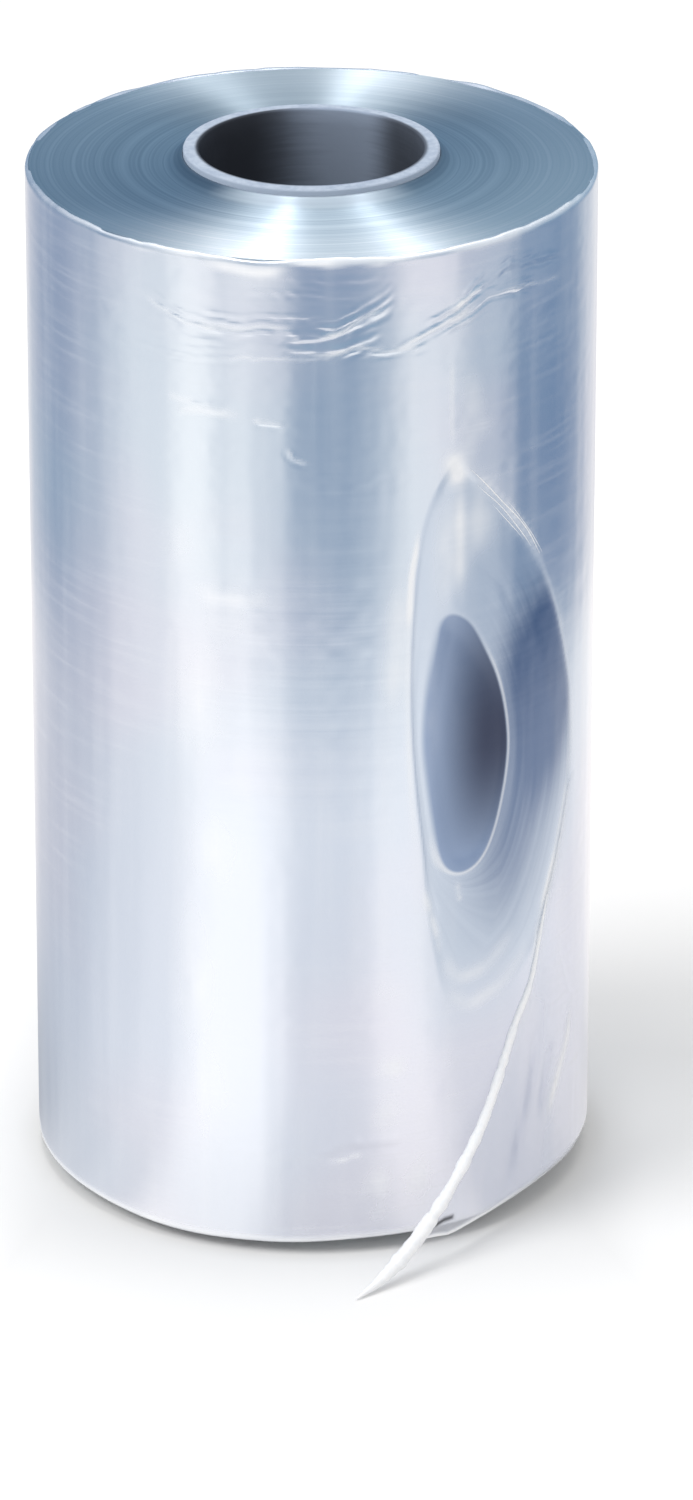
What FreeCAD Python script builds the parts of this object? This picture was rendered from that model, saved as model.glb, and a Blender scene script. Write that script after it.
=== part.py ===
import FreeCAD, Part
import os

# A roll of clear shrink wrap film, standing on end.
# One long web of film is wound tight on a paperboard core. The core stands out a little
# past the film at both ends, so the roll rests on the core. The outermost turns are torn
# open in a lens-shaped window on the front right, with a deeper oval hollow in it, and the
# web's loose end leaves the roll below the window and trails to the ground.
#
# Millimetres. +Z is the roll's axis, and Z = 0 is the surface that the core stands on.
# Azimuth is measured round the axis from the front (-Y) towards +X, in degrees.
# Heights on the film are measured up from its lower edge.

# Core
CORE_BORE_DIAMETER = 76.2
CORE_WALL = 5.4
CORE_STAND_OUT = 5.0

# Wound film
FILM_DIAMETER = 194.0
FILM_WIDTH = 360.0

# Torn window, as seen square on: three bowed edges between a top, a right and a foot point
WINDOW_AZIMUTH = 46.0
WINDOW_DEPTH = 1.0
WINDOW_HEIGHT = 208.0
WINDOW_FOOT_HEIGHT = 76.0
WINDOW_POINTS_OFFSET = 24.0
WINDOW_RIGHT_OFFSET = 42.5
WINDOW_RIGHT_HEIGHT = 152.0
WINDOW_UPPER_BOW = 13.0
WINDOW_LOWER_BOW = 18.0
WINDOW_LEFT_BOW = 19.0

# Oval hollow inside the window
HOLLOW_AZIMUTH = 33.0
HOLLOW_DEPTH = 3.0
HOLLOW_LENGTH = 96.0
HOLLOW_BREADTH = 34.0
HOLLOW_CENTRE_HEIGHT = 181.0

# Loose end of the web: a flat strip that leaves the roll along a tangent, its upper edge
# slanting down to an elbow and then sweeping along the ground to a blunt tip
TAIL_AZIMUTH = 49.0
TAIL_THICKNESS = 0.6
TAIL_LENGTH = 90.0
TAIL_ROOT_HEIGHT = 80.0
TAIL_EDGE_BOW = 1.0
TAIL_ELBOW_LENGTH = 46.0
TAIL_ELBOW_HEIGHT = 13.0
TAIL_SWEEP_BOW = 4.0
TAIL_FOOT_LENGTH = 40.0
TAIL_TIP_BREADTH = 1.2
TAIL_TIP_CLEARANCE = 0.3

# The strip merges with the film: its outer face lies this far under the film's surface,
# and its root reaches this far past the line where it leaves
TAIL_SINK = 0.05
TAIL_ROOT_OVERLAP = 2.0

# Takes a cutting tool clear of the surface that it cuts
TOOL_MARGIN = 1.0

# Worked out from the sizes above
core_bore_radius = CORE_BORE_DIAMETER / 2
core_outer_radius = core_bore_radius + CORE_WALL
core_length = FILM_WIDTH + 2 * CORE_STAND_OUT
film_radius = FILM_DIAMETER / 2
film_bottom = CORE_STAND_OUT


def tube(outer_radius, inner_radius, bottom, length):
    base = FreeCAD.Vector(0, 0, bottom)
    outside = Part.makeCylinder(outer_radius, length, base)
    inside = Part.makeCylinder(inner_radius, length, base)
    return outside.cut(inside)


def on_front(x, height, distance):
    """A point of an outline that faces the front, at a distance from the roll's axis."""
    return FreeCAD.Vector(x, -distance, film_bottom + height)


def bowed(start, end, bow):
    """An arc from start to end. Its middle stands off the chord by bow, to the left of the
    way from start to end as seen from the front."""
    chord = end - start
    across = FreeCAD.Vector(-chord.z, 0, chord.x).normalize()
    middle = (start + end) * 0.5 + across * bow
    return Part.Arc(start, middle, end).toShape()


def turned_to(azimuth, shape):
    """A shape made facing the front, turned round the roll's axis to an azimuth."""
    shape.rotate(FreeCAD.Vector(0, 0, 0), FreeCAD.Vector(0, 0, 1), azimuth)
    return shape


def pocket(azimuth, outline, depth):
    """What an outline cuts out of the film's surface, to an even depth."""
    prism = Part.Face(Part.Wire(outline)).extrude(FreeCAD.Vector(0, film_radius / 2, 0))
    skin = tube(film_radius + TOOL_MARGIN, film_radius - depth, film_bottom, FILM_WIDTH)
    return turned_to(azimuth, prism).common(skin)


def torn_window():
    distance = film_radius + TOOL_MARGIN
    top_height = WINDOW_FOOT_HEIGHT + WINDOW_HEIGHT
    top = on_front(-WINDOW_POINTS_OFFSET, top_height, distance)
    right = on_front(WINDOW_RIGHT_OFFSET, WINDOW_RIGHT_HEIGHT, distance)
    foot = on_front(-WINDOW_POINTS_OFFSET, WINDOW_FOOT_HEIGHT, distance)
    outline = [
        bowed(top, right, WINDOW_UPPER_BOW),
        bowed(right, foot, WINDOW_LOWER_BOW),
        bowed(foot, top, WINDOW_LEFT_BOW),
    ]
    return pocket(WINDOW_AZIMUTH, outline, WINDOW_DEPTH)


def oval_hollow():
    distance = film_radius + TOOL_MARGIN
    centre = on_front(0, HOLLOW_CENTRE_HEIGHT, distance)
    top = on_front(0, HOLLOW_CENTRE_HEIGHT + HOLLOW_LENGTH / 2, distance)
    side = on_front(HOLLOW_BREADTH / 2, HOLLOW_CENTRE_HEIGHT, distance)
    ellipse = Part.Ellipse(top, side, centre).toShape()
    return pocket(HOLLOW_AZIMUTH, [ellipse], HOLLOW_DEPTH)


def loose_end():
    distance = film_radius - TAIL_SINK
    tip_height = TAIL_TIP_CLEARANCE - film_bottom
    root_low = on_front(TAIL_ROOT_OVERLAP, 0, distance)
    root_high = on_front(TAIL_ROOT_OVERLAP, TAIL_ROOT_HEIGHT, distance)
    elbow = on_front(-TAIL_ELBOW_LENGTH, TAIL_ELBOW_HEIGHT, distance)
    tip_high = on_front(-TAIL_LENGTH, tip_height + TAIL_TIP_BREADTH, distance)
    tip_low = on_front(-TAIL_LENGTH, tip_height, distance)
    foot = on_front(-TAIL_FOOT_LENGTH, 0, distance)
    outline = [
        Part.makeLine(root_low, root_high),
        bowed(root_high, elbow, -TAIL_EDGE_BOW),
        bowed(elbow, tip_high, TAIL_SWEEP_BOW),
        Part.makeLine(tip_high, tip_low),
        Part.makeLine(tip_low, foot),
        Part.makeLine(foot, root_low),
    ]
    strip = Part.Face(Part.Wire(outline)).extrude(FreeCAD.Vector(0, TAIL_THICKNESS, 0))
    return turned_to(TAIL_AZIMUTH, strip)


def core():
    """A plain paperboard tube, cut square at both ends."""
    return tube(core_outer_radius, core_bore_radius, 0, core_length)


def film():
    """The wound web, one solid from its first turn on the core to its loose end."""
    wound = tube(film_radius, core_outer_radius, film_bottom, FILM_WIDTH)
    torn = wound.cut(torn_window()).cut(oval_hollow())
    return torn.fuse(loose_end()).removeSplitter()


parts = {
    "core": core(),
    "film": film(),
}

os.makedirs("parts", exist_ok=True)
for name, shape in parts.items():
    shape.exportStep(f"parts/{name}.step")
    print(f"{name}: {len(shape.Solids)} solid, valid {shape.isValid()}, {shape.Volume:.0f} mm3")
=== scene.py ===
import math

import bpy
import numpy as np
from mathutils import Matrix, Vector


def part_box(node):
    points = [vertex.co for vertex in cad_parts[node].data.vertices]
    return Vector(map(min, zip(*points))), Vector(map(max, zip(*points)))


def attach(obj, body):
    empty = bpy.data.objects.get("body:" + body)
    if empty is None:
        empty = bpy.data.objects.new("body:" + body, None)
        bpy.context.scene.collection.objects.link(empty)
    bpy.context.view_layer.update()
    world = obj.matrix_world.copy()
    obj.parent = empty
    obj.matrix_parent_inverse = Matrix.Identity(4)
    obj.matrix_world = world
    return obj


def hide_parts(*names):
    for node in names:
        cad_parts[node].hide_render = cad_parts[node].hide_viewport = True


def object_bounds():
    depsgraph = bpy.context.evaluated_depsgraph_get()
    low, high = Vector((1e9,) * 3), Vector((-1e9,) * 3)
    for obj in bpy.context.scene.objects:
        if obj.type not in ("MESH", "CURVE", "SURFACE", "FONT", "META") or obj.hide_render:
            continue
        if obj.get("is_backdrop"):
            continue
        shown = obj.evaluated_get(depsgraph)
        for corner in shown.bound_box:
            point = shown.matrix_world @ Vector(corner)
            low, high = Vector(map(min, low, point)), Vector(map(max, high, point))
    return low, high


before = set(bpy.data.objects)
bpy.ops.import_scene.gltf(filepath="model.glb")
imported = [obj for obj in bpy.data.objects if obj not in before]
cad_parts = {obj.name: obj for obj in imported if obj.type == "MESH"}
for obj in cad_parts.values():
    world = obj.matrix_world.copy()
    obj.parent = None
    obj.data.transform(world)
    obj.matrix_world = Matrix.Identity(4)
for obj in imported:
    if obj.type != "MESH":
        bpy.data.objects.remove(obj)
cad_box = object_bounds()
MM = 0.001


# Camera. It stands nearly three metres off on the roll's front side with a long lens,
# and looks down on it at about 24 degrees.
camera_data = bpy.data.cameras.new("camera")
camera_data.sensor_width = 36
camera_data.lens = 211.6
camera = bpy.data.objects.new("camera", camera_data)
camera.location = (0, -2.8114, 1.37788)
camera.rotation_euler = (math.pi / 2 - 0.4126, 0, -0.0042)
bpy.context.scene.collection.objects.link(camera)
bpy.context.scene.camera = camera
bpy.context.scene.view_settings.view_transform = "Standard"


# Studio. The roll stands on a wide pale table under soft lamps. A round wall of grey-blue
# cloth with soft boxes in it stands close about the roll, where only the film's gloss sees it.
class Wire:
    """One socket of a node tree. A sum on it adds Math nodes, and node() adds any other node."""

    def __init__(self, tree, socket=None):
        self.tree = tree
        self.socket = socket

    def node(self, kind, settings=None, sockets=None, out=0):
        made = self.tree.nodes.new(kind)
        for name, value in (settings or {}).items():
            setattr(made, name, value)
        for name, value in (sockets or {}).items():
            target = made.inputs[name]
            if isinstance(value, Wire):
                self.tree.links.new(value.socket, target)
            elif target.type == "RGBA":
                target.default_value = (*value, 1)
            else:
                target.default_value = value
        return Wire(self.tree, made.outputs[out] if made.outputs else None)

    def other(self, name):
        return Wire(self.tree, self.socket.node.outputs[name])

    def maths(self, operation, first, second):
        return self.node("ShaderNodeMath", {"operation": operation}, {0: first, 1: second})

    def __add__(self, other):
        return self.maths("ADD", self, other)

    def __radd__(self, other):
        return self.maths("ADD", other, self)

    def __sub__(self, other):
        return self.maths("SUBTRACT", self, other)

    def __rsub__(self, other):
        return self.maths("SUBTRACT", other, self)

    def __mul__(self, other):
        return self.maths("MULTIPLY", self, other)

    def __rmul__(self, other):
        return self.maths("MULTIPLY", other, self)

    def __truediv__(self, other):
        return self.maths("DIVIDE", self, other)

    def __pow__(self, other):
        return self.maths("POWER", self, other)

    def ramp(self, low, high, bottom=0.0, top=1.0):
        """A smooth step from bottom at low to top at high."""
        return self.node(
            "ShaderNodeMapRange",
            {"interpolation_type": "SMOOTHSTEP"},
            {"Value": self, "From Min": low, "From Max": high, "To Min": bottom, "To Max": top},
        )

    def tint(self, first, second):
        """The colour between first, where this value is 0, and second, where it is 1."""
        return self.node("ShaderNodeMix", {"data_type": "RGBA"}, {0: self, 6: first, 7: second}, out=2)


def new_material(name):
    made = bpy.data.materials.new(name)
    made.use_nodes = True
    made.node_tree.nodes.clear()
    return made, Wire(made.node_tree)


def new_piece(name, points, faces, material):
    mesh = bpy.data.meshes.new(name)
    mesh.from_pydata(points, [], faces)
    mesh.materials.append(material)
    mesh.polygons.foreach_set("use_smooth", [True] * len(mesh.polygons))
    made = bpy.data.objects.new(name, mesh)
    bpy.context.scene.collection.objects.link(made)
    return made


TABLE_HALF = 6.0
GLOW = 0.12

paper, wire = new_material("table_paper")
rays = wire.node("ShaderNodeLightPath", out="Is Camera Ray")
mirrored = rays.maths("MAXIMUM", rays.other("Is Glossy Ray"), rays.other("Is Transmission Ray"))
seen = rays.maths("MAXIMUM", rays, mirrored)
place = wire.node("ShaderNodeTexCoord", out="Object")
axes = wire.node("ShaderNodeSeparateXYZ", {}, {0: place}, out="X")
from_roll = (axes * axes + axes.other("Y") * axes.other("Y")) ** 0.5
# Painted shade on the table: the glow that whitens it is held back round the roll's foot and behind the roll
# on its right, where the roll's shadow falls, so the table is painted darker there.
outside = from_roll.ramp(0.10, 0.26)
shadow_behind_right = axes.ramp(0.07, 0.11) * axes.other("Y").ramp(-0.06, 0.02) * from_roll.ramp(0.4, 0.22)
outside = outside * (1 - shadow_behind_right * 0.6)
outside = outside.maths("MAXIMUM", outside, axes.other("Y").ramp(-0.06, -0.14) * 0.8)
outside = outside.maths("MAXIMUM", outside, axes.ramp(-0.09, -0.12) * 0.9)
right_front = axes.ramp(0.09, 0.12) * axes.other("Y").ramp(0.08, 0.0)
outside = outside.maths("MAXIMUM", outside, right_front * 0.85) * from_roll.ramp(0.098, 0.106)
lit = wire.node("ShaderNodeBsdfDiffuse", {}, {"Color": (0.825, 0.822, 0.818)})
glow = wire.node(
    "ShaderNodeEmission", {}, {"Color": (1, 1, 1), "Strength": seen * outside * GLOW}
)
both = wire.node("ShaderNodeAddShader", {}, {0: lit, 1: glow})
wire.node("ShaderNodeOutputMaterial", {}, {"Surface": both})
table_corners = [
    (x * TABLE_HALF, y * TABLE_HALF, -0.2 * MM) for x, y in ((-1, -1), (1, -1), (1, 1), (-1, 1))
]
table = new_piece("table", table_corners, [(0, 1, 2, 3)], paper)
table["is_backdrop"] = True

WALL_TONE = np.array((0.062, 0.163, 0.315))
WALL_WHITE = np.array((1.03, 0.997, 0.988))
FOOT_TONE = np.array((0.065, 0.145, 0.27))
# the soft boxes that wash the wall: azimuth from the front, half breadth in degrees, and brightness
LOW_BOXES = [
    (175, 65, 0.8),
    (-115, 35, 0.17),
    (-60, 58, 0.4),
    (-56, 38, 0.36),
    (-45, 13, 0.31),
    (-20, 17, 0.53),
    (4, 34, 0.11),
    (41, 28, 0.4),
    (45, 21, 0.44),
    (71, 15, 0.38),
]
# and those that wash its foot, which the floor's own light brightens all round
FOOT_LIGHT = 0.73
FOOT_BOXES = [
    (175, 70, 0.3),
    (-120, 50, -0.25),
    (-52, 18, 0.1),
    (-27, 24, 0.43),
    (31, 17, 0.25),
    (95, 25, 0.1),
]

cloth, wire = new_material("light_wall_cloth")
place = wire.node("ShaderNodeTexCoord", out="Object")
axes = wire.node("ShaderNodeSeparateXYZ", {}, {0: place}, out="X")
turn = axes.maths("ARCTAN2", axes, 0 - axes.other("Y")) / (2 * math.pi) + 0.5
height = axes.other("Z")


def towards(azimuth, half):
    """1 on the part of the wall near an azimuth, falling smoothly to 0 at half a breadth from it."""
    apart = turn.maths("MODULO", turn + (1 - azimuth / 360), 1.0) - 0.5
    return apart.maths("ABSOLUTE", apart, 0.0).ramp(half / 360, half * 0.3 / 360)


def wash(boxes, tone, light):
    """The wall's colour under soft boxes, from the tone of its cloth towards white."""
    for azimuth, half, bright in boxes:
        light = towards(azimuth, half) * bright + light
    mixing = {"data_type": "RGBA", "clamp_factor": False}
    return wire.node("ShaderNodeMix", mixing, {0: light, 6: tuple(tone), 7: tuple(WALL_WHITE)}, out=2)


low = wash(LOW_BOXES, WALL_TONE, 0.0)
dimmer = height.ramp(0.004, 0.02) * height.ramp(0.09, 0.06) * towards(-13, 13)
low = (dimmer * 0.4).tint(low, tuple(WALL_TONE))
low = (height.ramp(0.06, 0.12) * towards(-115, 40) * 0.22).tint(low, tuple(WALL_TONE))
away = (axes * axes + axes.other("Y") * axes.other("Y")) ** 0.5
near = away.ramp(0.1, 0.24, 0.86, 1.0).tint((0, 0, 0), wash(FOOT_BOXES, FOOT_TONE, FOOT_LIGHT))
foot = away.ramp(0.5, 0.598).tint(near, low)
brighter = away.ramp(0.36, 0.49) * height.ramp(0.045, 0.012) * towards(2, 56)
foot = (brighter * 0.27).tint(foot, (1.38, 1.34, 1.32))
rim_glow = height.ramp(0.122, 0.142) * height.ramp(0.2, 0.15) * towards(86, 32)
foot = (rim_glow * 0.28).tint(foot, (0.9, 0.93, 0.96))
upper = axes.ramp(-0.5, 0.5).tint((0.092, 0.195, 0.325), (0.205, 0.335, 0.47))
beside = axes.other("Y").ramp(-0.45, -0.2) * axes.other("Y").ramp(0.6, 0.5)
upper = (height.ramp(0.85, 1.9) * beside * axes.ramp(-0.1, 0.1, 0.85, 1.0)).tint(upper, (2.2, 2.25, 2.3))
colour = height.ramp(0.17, 0.36).tint(foot, upper)
light = wire.node("ShaderNodeEmission", {}, {"Color": colour, "Strength": 1.0})
wire.node("ShaderNodeOutputMaterial", {}, {"Surface": light})
cloth.cycles.emission_sampling = "NONE"
WALL_SIDES = 96
WALL_PROFILE = [
    (0.1, 0.001), (0.3, 0.001), (0.5, 0.001), (0.56, 0.004), (0.585, 0.012), (0.6, 0.035), (0.6, 2.2),
]
wall_points = []
for radius, level in WALL_PROFILE:
    for i in range(WALL_SIDES):
        angle = 2 * math.pi * i / WALL_SIDES
        wall_points.append((radius * math.sin(angle), -radius * math.cos(angle), level))
wall_faces = []
for row in range(len(WALL_PROFILE) - 1):
    for i in range(WALL_SIDES):
        a, b = row * WALL_SIDES + i, row * WALL_SIDES + (i + 1) % WALL_SIDES
        wall_faces.append((a, b, b + WALL_SIDES, a + WALL_SIDES))
wall = new_piece("light_wall", wall_points, wall_faces, cloth)
wall.visible_camera = False
wall.visible_diffuse = False
wall.visible_transmission = False
wall.visible_shadow = False
wall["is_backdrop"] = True

world = bpy.data.worlds.new("world")
world.use_nodes = True
world.node_tree.nodes.clear()
bpy.context.scene.world = world
wire = Wire(world.node_tree)
rays = wire.node("ShaderNodeLightPath", out="Is Camera Ray")
mirrored = rays.maths("MAXIMUM", rays.other("Is Glossy Ray"), rays.other("Is Transmission Ray"))
seen = rays.maths("MAXIMUM", rays, mirrored)
sky = wire.node("ShaderNodeBackground", {}, {"Color": (1, 1, 1), "Strength": seen * 0.25 + 0.75})
wire.node("ShaderNodeOutputWorld", {}, {"Surface": sky})

# the big soft light: azimuth from the front and elevation, in degrees, how wide it looks, and its strength
KEY_AZIMUTH, KEY_ELEVATION, KEY_SPREAD, KEY_STRENGTH = -62, 48, 30, 1.2
data = bpy.data.lights.new("key", "SUN")
data.angle = math.radians(KEY_SPREAD)
data.energy = KEY_STRENGTH
lamp = bpy.data.objects.new("key", data)
lamp.rotation_euler = (math.radians(90 - KEY_ELEVATION), 0, math.radians(KEY_AZIMUTH))
lamp.visible_glossy = False
bpy.context.scene.collection.objects.link(lamp)

# strip lamps overhead, whose light the film's end throws out in beams: the beam's azimuth,
# the middle of the strip, its breadth and length in metres, and its power in watts
STRIPS = [
    ("strip_wide", -20, (-0.40, 0.10), 0.26, 0.8, 0.7),
    ("strip_left", -10, (-0.19, 0.10), 0.12, 0.8, 3.2),
    ("strip_middle", 7, (0.12, 0.10), 0.40, 0.8, 1.2),
    ("strip_right", 23, (0.44, 0.12), 0.19, 0.8, 1.9),
]
STRIP_HEIGHT = 1.57
for name, azimuth, (x, y), breadth, length, power in STRIPS:
    data = bpy.data.lights.new(name, "AREA")
    data.shape = "RECTANGLE"
    data.size = breadth
    data.size_y = length
    data.energy = power
    lamp = bpy.data.objects.new(name, data)
    lamp.location = (x, y, STRIP_HEIGHT)
    lamp.rotation_euler = (0, 0, math.radians(azimuth))
    bpy.context.scene.collection.objects.link(lamp)


# Core. A paperboard tube, wound from strips on a spiral, and cut square with the roll.
# The film is wound onto it, and it stands out of the film 5 mm at each end.
# RING is the radius of the small ring that a profile is turned round, in millimetres.
RING = 1.0


def lathe_tree():
    """Turns the profile that the object holds into a round piece."""
    tree = bpy.data.node_groups.new("turned_round", "GeometryNodeTree")
    tree.interface.new_socket("Profile", in_out="INPUT", socket_type="NodeSocketGeometry")
    tree.interface.new_socket("Sides", in_out="INPUT", socket_type="NodeSocketInt")
    tree.interface.new_socket("Waver", in_out="INPUT", socket_type="NodeSocketFloat")
    tree.interface.new_socket("Material", in_out="INPUT", socket_type="NodeSocketMaterial")
    tree.interface.new_socket("Piece", in_out="OUTPUT", socket_type="NodeSocketGeometry")
    wire = Wire(tree)
    given = wire.node("NodeGroupInput", out="Profile")
    profile = wire.node("GeometryNodeMeshToCurve", {}, {"Mesh": given})
    circle = wire.node(
        "GeometryNodeCurvePrimitiveCircle", {}, {"Resolution": given.other("Sides"), "Radius": RING * MM}
    )
    swept = wire.node(
        "GeometryNodeCurveToMesh", {}, {"Curve": circle, "Profile Curve": profile}, out="Mesh"
    )
    place = wire.node("GeometryNodeInputPosition")
    stir = wire.node(
        "ShaderNodeTexNoise", {"noise_dimensions": "3D"}, {"Vector": place, "Scale": 26.0, "Detail": 2.0}
    )
    lift = (stir - 0.5) * given.other("Waver")
    offset = wire.node("ShaderNodeCombineXYZ", {}, {"Z": lift})
    moved = wire.node("GeometryNodeSetPosition", {}, {"Geometry": swept, "Offset": offset})
    whole = wire.node("GeometryNodeRealizeInstances", {}, {"Geometry": moved})
    done = wire.node(
        "GeometryNodeSetMaterial", {}, {"Geometry": whole, "Material": given.other("Material")}
    )
    wire.node("NodeGroupOutput", {}, {"Piece": done})
    return tree


turned_round = lathe_tree()


def turned(name, profile, sides, waver, material):
    """A round piece from a closed profile of (radius, height) points, in millimetres."""
    mesh = bpy.data.meshes.new(name + "_profile")
    points = [((r - RING) * MM, -z * MM, 0) for r, z in profile]
    edges = [(i, (i + 1) % len(points)) for i in range(len(points))]
    mesh.from_pydata(points, edges, [])
    holder = bpy.data.objects.new(name + "_profile", mesh)
    bpy.context.scene.collection.objects.link(holder)
    change = holder.modifiers.new("turned", "NODES")
    change.node_group = turned_round
    names = {s.name: s.identifier for s in turned_round.interface.items_tree if s.in_out == "INPUT"}
    change[names["Sides"]] = sides
    change[names["Waver"]] = waver * MM
    change[names["Material"]] = material
    seen_by = bpy.context.evaluated_depsgraph_get()
    whole = bpy.data.meshes.new_from_object(holder.evaluated_get(seen_by))
    whole.name = name
    bpy.data.objects.remove(holder)
    whole.polygons.foreach_set("use_smooth", [True] * len(whole.polygons))
    made = bpy.data.objects.new(name, whole)
    bpy.context.scene.collection.objects.link(made)
    return made


_, CORE_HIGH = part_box("core")
CORE_OUTSIDE = CORE_HIGH.x / MM
CORE_INSIDE = 38.1
CORE_TOP = CORE_HIGH.z / MM
PLY = 0.6

board, wire = new_material("core_board")
place = wire.node("ShaderNodeTexCoord", out="Object")
axes = wire.node("ShaderNodeSeparateXYZ", {}, {0: place}, out="X")
across = axes * axes + axes.other("Y") * axes.other("Y")
radius = across ** 0.5
fibre = wire.node("ShaderNodeTexNoise", {}, {"Vector": place, "Scale": 420.0, "Detail": 4.0})
inner = radius.ramp(40.0 * MM, 38.6 * MM)
stain = wire.node("ShaderNodeTexNoise", {}, {"Vector": place, "Scale": 34.0, "Detail": 2.0})
ply_place = wire.node("ShaderNodeMapping", {}, {"Vector": place, "Scale": (40.0, 40.0, 700.0)})
ply = wire.node("ShaderNodeTexNoise", {}, {"Vector": ply_place, "Scale": 1.0, "Detail": 3.0})
# Painted light and shade in the bore: its inside is painted near black, with a lighter upright band a little
# right of the middle that grows lighter towards the top. The stain noise is the board's own.
bore_painted_light = axes.ramp(-24 * MM, 14 * MM) * axes.ramp(30 * MM, 14 * MM, 0.15, 1.0)
bore_painted_light = bore_painted_light * axes.other("Z").ramp(0.15, 0.36, 0.6, 1.0)
rim = fibre.ramp(0.3, 0.7).tint((0.32, 0.38, 0.475), (0.41, 0.47, 0.56))
bore_light_and_stain = (bore_painted_light * (0.6 + ply * 0.5) + stain * 0.2).ramp(0.0, 0.9)
bore = bore_light_and_stain.tint((0.03, 0.033, 0.042), (0.27, 0.325, 0.42))
shaded_side = radius.ramp(43.1 * MM, 43.45 * MM)
rim = shaded_side.tint(rim, (0.36, 0.42, 0.51))
colour = inner.tint(rim, bore)
rough = fibre * 0.2 + 0.5
bumped = wire.node("ShaderNodeBump", {}, {"Strength": 0.25, "Distance": 0.0003, "Height": fibre})
surface = wire.node(
    "ShaderNodeBsdfPrincipled",
    {},
    {"Base Color": colour, "Roughness": rough, "Specular IOR Level": 0.12, "Normal": bumped},
)
wire.node("ShaderNodeOutputMaterial", {}, {"Surface": surface})


def cut_rim(inside, outside, edge, outward):
    """The points across a sawn board edge, where the plies stand a hair apart."""
    points = [(inside + 0.05, edge - outward * 0.7), (inside + 0.25, edge - outward * 0.25)]
    plies = int((outside - inside - 0.8) / PLY)
    for i in range(plies * 2 + 1):
        points.append((inside + 0.5 + i * PLY / 2, edge - outward * (0.02 if i % 2 else 0.09)))
    points += [(outside - 0.2, edge - outward * 0.25), (outside, edge - outward * 0.7)]
    return points


rows = [CORE_TOP * (i + 1) / 61 for i in range(60)]
profile = (
    [(CORE_INSIDE, z) for z in rows]
    + cut_rim(CORE_INSIDE, CORE_OUTSIDE, CORE_TOP, 1)
    + [(CORE_OUTSIDE, z) for z in reversed(rows)]
    + list(reversed(cut_rim(CORE_INSIDE, CORE_OUTSIDE, 0, -1)))
)
core = turned("paper_core", profile, 160, 0.0, board)
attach(core, "root")
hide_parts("core")


# Wound film. Some thousands of turns of clear film, pulled tight, which together look like
# silvery blue glass. The outer turns are creased near the top and torn open at the front.
_, FILM_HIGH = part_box("film")
RADIUS = FILM_HIGH.x / MM
FILM_BOTTOM = 5.0
FILM_TOP = FILM_HIGH.z / MM


def soft_noise(u, v, seed):
    """Smooth noise from -1 to 1 on the surface, one hump about every unit of u and v."""
    table = np.random.RandomState(seed).uniform(-1, 1, (64, 64))
    iu, iv = np.floor(u).astype(int), np.floor(v).astype(int)
    fu, fv = u - iu, v - iv
    fu, fv = fu * fu * (3 - 2 * fu), fv * fv * (3 - 2 * fv)
    corner = lambda a, b: table[(iu + a) % 64, (iv + b) % 64]
    low = corner(0, 0) * (1 - fu) + corner(1, 0) * fu
    high = corner(0, 1) * (1 - fu) + corner(1, 1) * fu
    return low * (1 - fv) + high * fv


def step(low, high, x):
    t = np.clip((x - low) / (high - low), 0, 1)
    return t * t * (3 - 2 * t)


def smooth_line(points, per_run, closed=False):
    """Points along a smooth line through the given ones."""
    p = np.array(points, float)
    n = len(p)
    out = []
    for i in range(n if closed else n - 1):
        if closed:
            a, b, c, d = p[i - 1], p[i], p[(i + 1) % n], p[(i + 2) % n]
        else:
            a, b, c, d = p[max(i - 1, 0)], p[i], p[i + 1], p[min(i + 2, n - 1)]
        for k in range(per_run):
            t = k / per_run
            out.append(
                0.5 * (2 * b + (c - a) * t + (2 * a - 5 * b + 4 * c - d) * t * t
                       + (3 * b - a - 3 * c + d) * t ** 3)
            )
    if not closed:
        out.append(p[-1])
    return np.array(out)


def line_distance(u, v, line, closed=False):
    """The distance to a line, the side of it, and how far along it the nearest point is, 0 to 1."""
    starts = line if closed else line[:-1]
    ends = np.roll(line, -1, axis=0) if closed else line[1:]
    lengths = np.hypot(*(ends - starts).T)
    before = np.concatenate([[0], np.cumsum(lengths)[:-1]])
    near = np.full(u.shape, 1e9)
    side = np.zeros(u.shape)
    along = np.zeros(u.shape)
    for a, b, length, done in zip(starts, ends, lengths, before):
        if length < 1e-9:
            continue
        du, dv = (b - a) / length
        run = np.clip((u - a[0]) * du + (v - a[1]) * dv, 0, length)
        off_u, off_v = u - a[0] - run * du, v - a[1] - run * dv
        gap = np.hypot(off_u, off_v)
        closer = gap < near
        near = np.where(closer, gap, near)
        side = np.where(closer, np.sign(du * off_v - dv * off_u), side)
        along = np.where(closer, done + run, along)
    return near, side, along / lengths.sum()


def inside_line(u, v, line):
    """True inside a closed line."""
    inside = np.zeros(u.shape, bool)
    for a, b in zip(line, np.roll(line, -1, axis=0)):
        crosses = (a[1] > v) != (b[1] > v)
        with np.errstate(divide="ignore", invalid="ignore"):
            at = (b[0] - a[0]) * (v - a[1]) / (b[1] - a[1]) + a[0]
        inside ^= crosses & (u < at)
    return inside


def on_roll(azimuth, z):
    """Azimuth in degrees and height as a place on the unrolled surface, in millimetres."""
    return math.radians(azimuth) * RADIUS, z


# the torn window in the outer turns, clockwise from its top, as azimuth and height
WINDOW = [
    (30.5, 289), (35.5, 280), (40, 272), (44.5, 263.5), (49, 254), (53, 243.5), (56.5, 231.5), (59.8, 218),
    (62.8, 204), (65.3, 188), (66.4, 170), (65.6, 154), (63, 141), (60, 128), (56.6, 115), (53, 103),
    (47, 93), (39.0, 84.5), (33.5, 81), (30.1, 85), (27.2, 94), (25.4, 107), (23.6, 125), (22.2, 149.5),
    (20.9, 168), (19.8, 191), (19.5, 214), (19.9, 235), (20.9, 258), (23.5, 275), (27, 285),
]
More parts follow.
